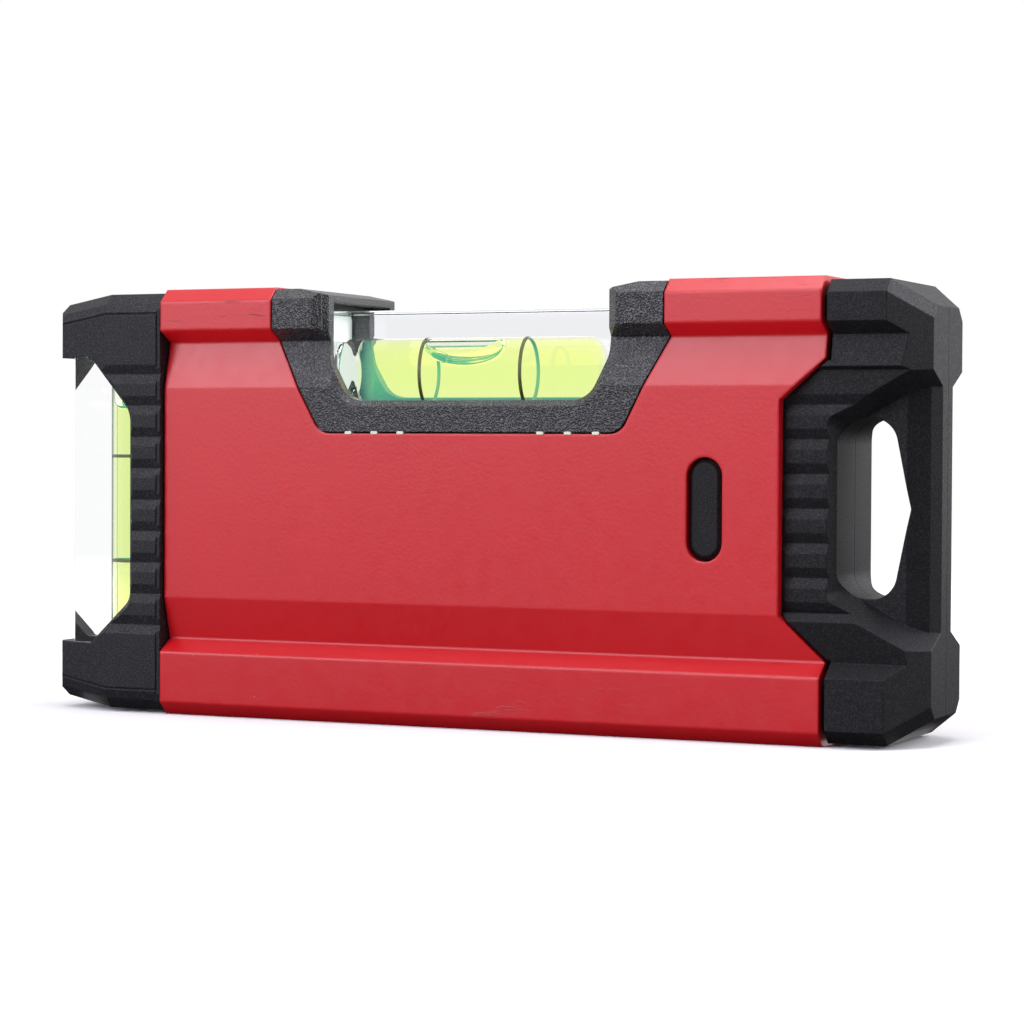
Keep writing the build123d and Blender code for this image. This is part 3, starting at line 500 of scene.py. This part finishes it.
def vial_spirit(vial, material):
    """The liquid fills the drilled cavity, right up to the acrylic."""
    radius = vial.radius
    profile = [(PLUG_FACE, 0), (PLUG_FACE, radius - SPIRIT_ROUND)]
    profile += arc(PLUG_FACE + SPIRIT_ROUND, radius - SPIRIT_ROUND, SPIRIT_ROUND, 270, 360, 4)
    profile += arc(CAVITY_END - CAVITY_ROUND, radius - CAVITY_ROUND, CAVITY_ROUND, 0, 90, 12)
    profile += [(CAVITY_END, 0)]
    bm = revolve(profile, vial.axis)
    spirit = add_piece(vial.name + "_spirit", bm, material, "level", vial.name + "_liquid")
    smooth_by_angle(spirit, 40)


def level_bubble_shape(vial, material):
    """Long bubble flattened against the cavity's top, with a rounded underside."""
    low, high = vial.bubble
    wall = vial.bubble_wall
    half = Vector(((high.x - low.x) / 2, wall * LEVEL_BUBBLE_WIDTH, (high.z - low.z) * LEVEL_BUBBLE_HEIGHT))
    middle = Vector(((low.x + high.x) / 2, vial.middle.y, low.z + half.z))
    bm = bmesh.new()
    bmesh.ops.create_uvsphere(bm, u_segments=TURN_STEPS, v_segments=TURN_STEPS // 2, radius=1)
    for vert in bm.verts:
        spot = Vector((vert.co.z * half.x, vert.co.y * half.y, vert.co.x * half.z)) + middle
        across = Vector((spot.y - vial.middle.y, spot.z - vial.middle.z))
        if across.length > wall:
            across *= wall / across.length
        vert.co = Vector((spot.x, vial.middle.y + across.x, vial.middle.z + across.y))
    bubble = add_piece("level_bubble_shape", bm, material, "level_bubble", "level_bubble")
    bubble.data.shade_smooth()


def plumb_bubble_shape(vial, material):
    """Short gap of air against the plug, rounded where it meets the wall."""
    low, high = vial.bubble
    wall = vial.bubble_wall
    depth = high.z - low.z
    shoulder, belly = PLUMB_BUBBLE_SHOULDER, PLUMB_BUBBLE_ROUND
    profile = [(0, 0), (0, wall - shoulder)]
    profile += arc(shoulder, wall - shoulder, shoulder, 270, 360, 5)
    profile += arc(depth - belly, wall - belly, belly, 0, 84, 12)
    profile += [(depth + PLUMB_BUBBLE_SAG, 0)]
    bm = revolve(profile, Matrix.Translation((vial.middle.x, vial.middle.y, high.z)) @ vial.turn)
    bubble = add_piece("plumb_bubble_shape", bm, material, "plumb_bubble", "plumb_bubble")
    smooth_by_angle(bubble, 50)


# ---------------------------------------------------------------------------- stage


def aim(obj, position, yaw, pitch, roll):
    """Place a camera or lamp, with its view turned by yaw from +Y towards -X."""
    forward = Vector((-math.sin(yaw) * math.cos(pitch), math.cos(yaw) * math.cos(pitch), -math.sin(pitch)))
    right = Vector((math.cos(yaw), math.sin(yaw), 0))
    up = right.cross(forward)
    turned_right = right * math.cos(roll) + up * math.sin(roll)
    turned_up = up * math.cos(roll) - right * math.sin(roll)
    basis = Matrix((turned_right, turned_up, -forward)).transposed()
    obj.matrix_world = Matrix.Translation(position) @ basis.to_4x4()


def add_camera():
    """Long lens from the front right, low down, as the picture was taken."""
    data = bpy.data.cameras.new("camera")
    data.sensor_width = 36.0
    data.lens = 98.54
    data.clip_start = 0.01
    data.clip_end = 20.0
    camera = bpy.data.objects.new("camera", data)
    bpy.context.scene.collection.objects.link(camera)
    position = Vector((126.457, -268.280, 29.091)) * MM
    yaw, pitch, roll = (math.radians(angle) for angle in (24.731, 1.316, 0.282))
    aim(camera, position, yaw, pitch, roll)
    bpy.context.scene.camera = camera


def add_softbox(name, position, size, power, colour):
    """Rectangular area lamp that faces the level's middle."""
    data = bpy.data.lights.new(name, "AREA")
    data.shape = "RECTANGLE"
    data.size, data.size_y = size
    data.energy = power
    data.color = colour
    lamp = bpy.data.objects.new(name, data)
    bpy.context.scene.collection.objects.link(lamp)
    lamp.location = position
    towards = LEVEL_MIDDLE - Vector(position)
    lamp.rotation_euler = towards.to_track_quat("-Z", "Y").to_euler()


def add_stage():
    """Pale floor under an even white sky, with soft lamps."""
    bm = bmesh.new()
    bmesh.ops.create_circle(bm, cap_ends=True, segments=TURN_STEPS, radius=FLOOR_RADIUS)
    mesh = bpy.data.meshes.new("floor")
    bm.to_mesh(mesh)
    bm.free()
    mesh.materials.append(floor_paper())
    floor = bpy.data.objects.new("floor", mesh)
    bpy.context.scene.collection.objects.link(floor)
    studio_sky()
    add_softbox("key", (-0.42, -0.90, 0.50), (0.85, 0.85), 8.15, (1.0, 0.985, 1.1))
    add_softbox("left", (-0.72, -0.89, 0.30), (0.34, 0.75), 0.75, (1.0, 0.99, 1.05))
    add_softbox("right", (0.82, 0.52, 0.54), (0.80, 0.80), 12.0, (1.0, 0.99, 1.06))
    add_softbox("edge", (0.95, 0.03, 0.42), (0.50, 0.80), 3.4, (1.0, 0.99, 1.03))
    add_softbox("top", (0.0, -0.16, 0.9), (0.60, 0.76), 5.9, (1.0, 0.985, 1.05))
    scene = bpy.context.scene
    scene.view_settings.view_transform = "Standard"
    scene.view_settings.look = "None"


# ---------------------------------------------------------------------------- dress the CAD

RED = red_coating()
HOLDER_BLACK = moulded_black("holder_black", 0.005, 0.29, 0.08, (0.34, 0.44), 0.6)
# the two caps are one black plastic: the plumb cap's paler, more speckled copy is partly painted light and
# the handle cap's darker copy partly painted shade, besides a real difference in gloss
PLUMB_BLACK = moulded_black("plumb_cap_black", 0.011, 0.08, 0.013, (0.46, 0.60), 0.27, parting=True)
HANDLE_BLACK = moulded_black("handle_cap_black", 0.007, 0.04, 0.013, (0.46, 0.60), 0.22, parting=True)
ACRYLIC = clear_acrylic("clear_acrylic", (0.925, 0.93, 0.955, 1))
CLEARER = clear_acrylic("clearer_acrylic", (0.999, 0.999, 0.999, 1))
SAWN = sawn_acrylic()
PLUG = inside_acrylic("plug_in_acrylic", PLUG_IOR, (0.97, 0.99, 0.96, 1))
# the spirit's cyan emission is a painted glow, standing in for the dye's fluorescence
PAINTED_GLOW = (0.15, 0.87, 1.0, 1)
DYE = ((0.93, 0.80, 0.10, 1), 370.0, PAINTED_GLOW, 97.0)
# the plumb vial's copy of the same spirit absorbs more and glows less: painted shade, for the darker light
# behind it
SHADED_DYE = ((0.84, 0.76, 0.06, 1), 370.0, PAINTED_GLOW, 78.0)
SPIRIT = inside_acrylic("green_spirit", SPIRIT_IOR, volume=DYE)
SHADED_SPIRIT = inside_acrylic("shaded_green_spirit", SPIRIT_IOR, volume=SHADED_DYE)
AIR = inside_acrylic("air_in_spirit", AIR_IOR)
FINISHES = {
    "profile_body": RED,
    "handle_cap": HANDLE_BLACK,
    "plumb_cap": PLUMB_BLACK,
    "vial_holder": HOLDER_BLACK,
    "level_vial_retainer": HOLDER_BLACK,
    "plumb_vial_retainer": HOLDER_BLACK,
    "holder_adhesive": plain("adhesive", (0.86, 0.83, 0.66), 0.4),
    "level_ring_left": plain("ring_ink", (0.075, 0.085, 0.015), 0.4),
    "magnet_left": plain("magnet_nickel", (0.55, 0.53, 0.50), 0.28, metallic=1.0, grain=0.004),
}
for twin, original in (
    ("level_ring_right", "level_ring_left"),
    ("plumb_ring_upper", "level_ring_left"),
    ("plumb_ring_lower", "level_ring_left"),
    ("magnet_right", "magnet_left"),
):
    FINISHES[twin] = FINISHES[original]
for name, material in FINISHES.items():
    slots = NODES[name].data.materials
    slots.clear()
    slots.append(material)

level_vial = Vial("level", Matrix.Rotation(math.radians(90), 4, "Y"))
plumb_vial = Vial("plumb", Matrix.Rotation(math.radians(180), 4, "X"))
for vial, acrylic, spirit in ((level_vial, ACRYLIC, SPIRIT), (plumb_vial, CLEARER, SHADED_SPIRIT)):
    vial_bar(vial, acrylic)
    vial_end(vial, SAWN)
    vial_plug(vial, PLUG)
    vial_spirit(vial, spirit)
level_bubble_shape(level_vial, AIR)
plumb_bubble_shape(plumb_vial, AIR)

add_stage()
add_camera()
